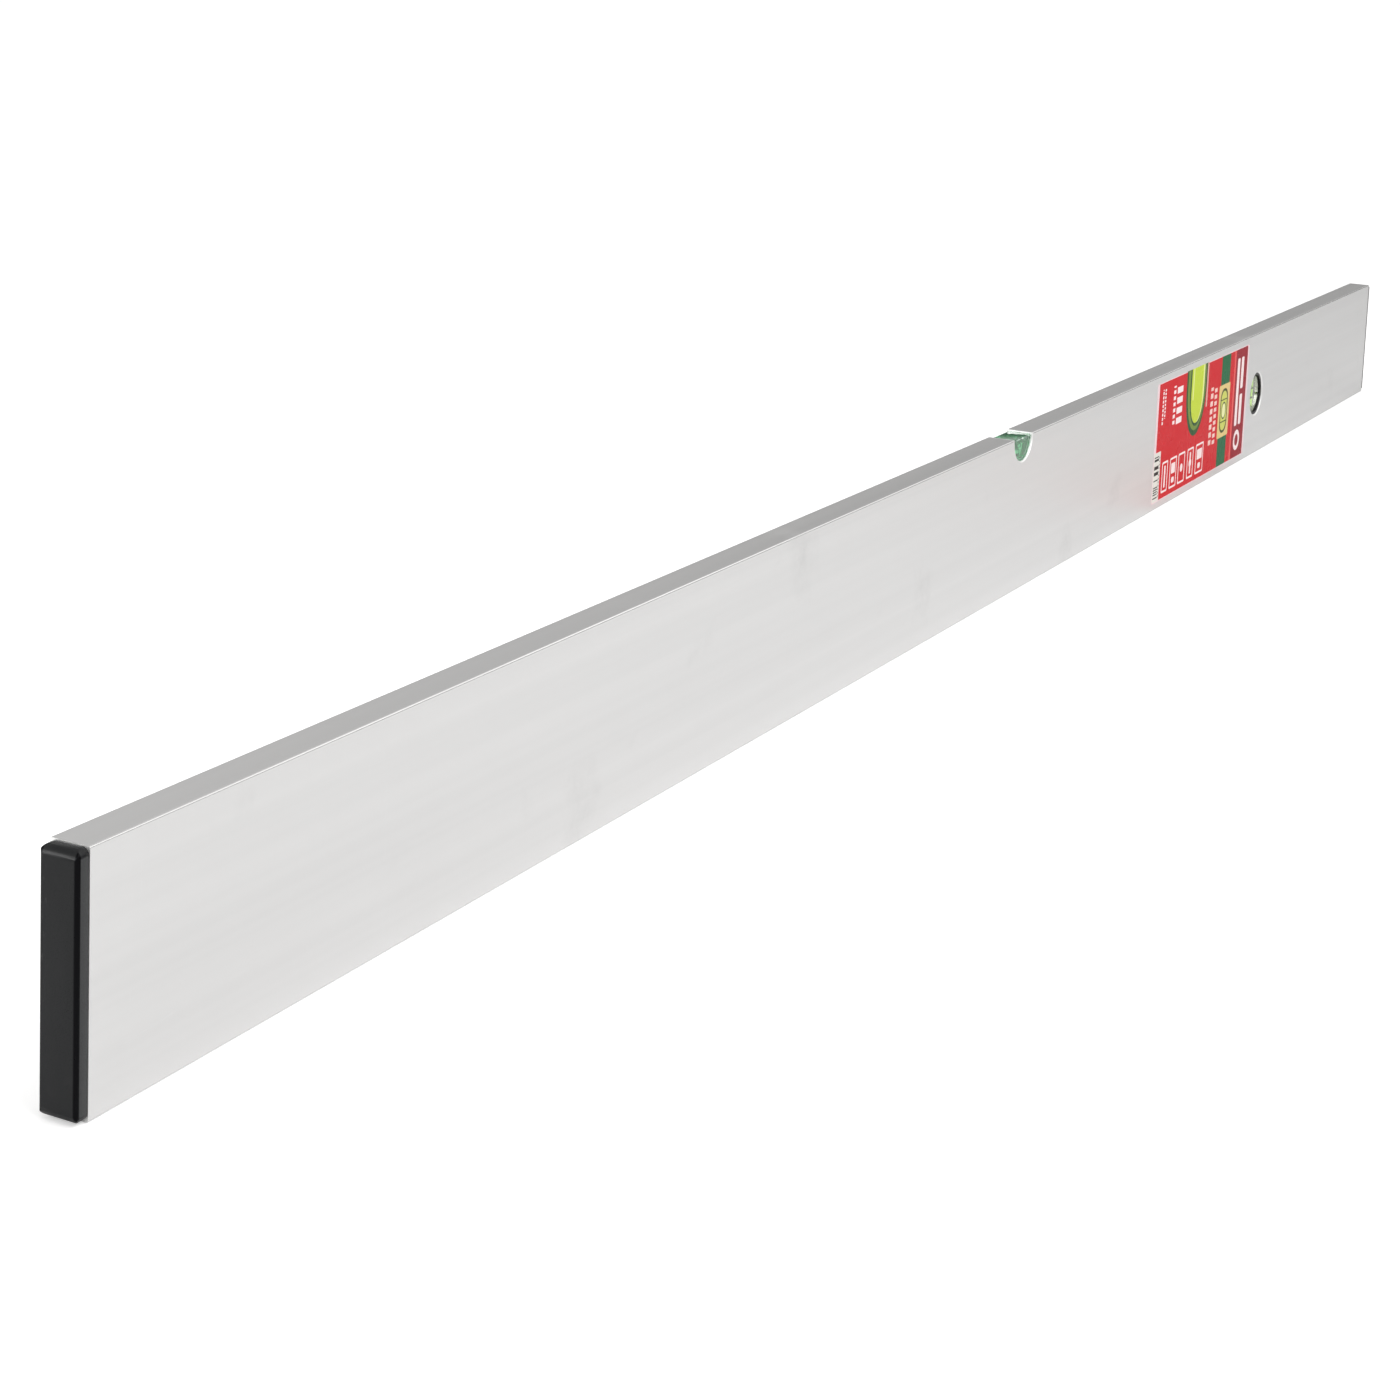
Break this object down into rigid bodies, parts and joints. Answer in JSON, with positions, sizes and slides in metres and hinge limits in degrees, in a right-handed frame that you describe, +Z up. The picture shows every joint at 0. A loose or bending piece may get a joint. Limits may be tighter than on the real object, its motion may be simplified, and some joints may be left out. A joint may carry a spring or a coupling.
{
  "type": "spirit level",
  "caption": "Long box-section aluminium spirit level with plastic end caps, a level vial in a notch of the upper edge and a round plumb vial window.",
  "frame": {"origin": "middle of the lower measuring edge, on the face the level stands on", "axes": "+X along the level toward the plumb vial and the label, +Y from the labelled front face to the back face, +Z up"},
  "size_m": [1.8, 0.0182, 0.1],
  "materials": {
    "profile": "satin anodised",
    "end_cap": "satin",
    "clear_block": "clear polished acrylic",
    "level_liquid": "clear green liquid",
    "plumb_liquid": "clear yellow-green liquid",
    "bubble": "air",
    "line": "matte",
    "plug": "clear",
    "pad": "matte cast resin",
    "ring": "satin",
    "label": "printed semi-gloss film"
  },
  "bodies": {
    "level": {"profile": "profile", "end_cap_left": "end_cap", "end_cap_right": "end_cap", "level_vial_block": "clear_block", "level_vial_liquid": "level_liquid", "level_vial_line_left": "line", "level_vial_line_right": "line", "level_vial_plug": "plug", "level_vial_pad_left": "pad", "level_vial_pad_right": "pad", "plumb_ring_front": "ring", "plumb_ring_back": "ring", "plumb_vial_disc": "clear_block", "plumb_vial_liquid": "plumb_liquid", "plumb_vial_line_upper": "line", "plumb_vial_line_lower": "line", "plumb_vial_plug": "plug", "face_label": "label"},
    "level_bubble": {"level_vial_bubble": "bubble"},
    "plumb_bubble": {"plumb_vial_bubble": "bubble"}
  },
  "joints": [
    {"name": "level_bubble_slide", "type": "slide", "parent": "level", "child": "level_bubble", "axis": [1, 0, 0], "range_m": [-0.0065, 0.0065], "stiffness_N_per_m": 2},
    {"name": "plumb_bubble_slide", "type": "slide", "parent": "level", "child": "plumb_bubble", "axis": [0, 0, 1], "range_m": [-0.0144, 0], "stiffness_N_per_m": 2, "springref_m": 0.004}
  ]
}
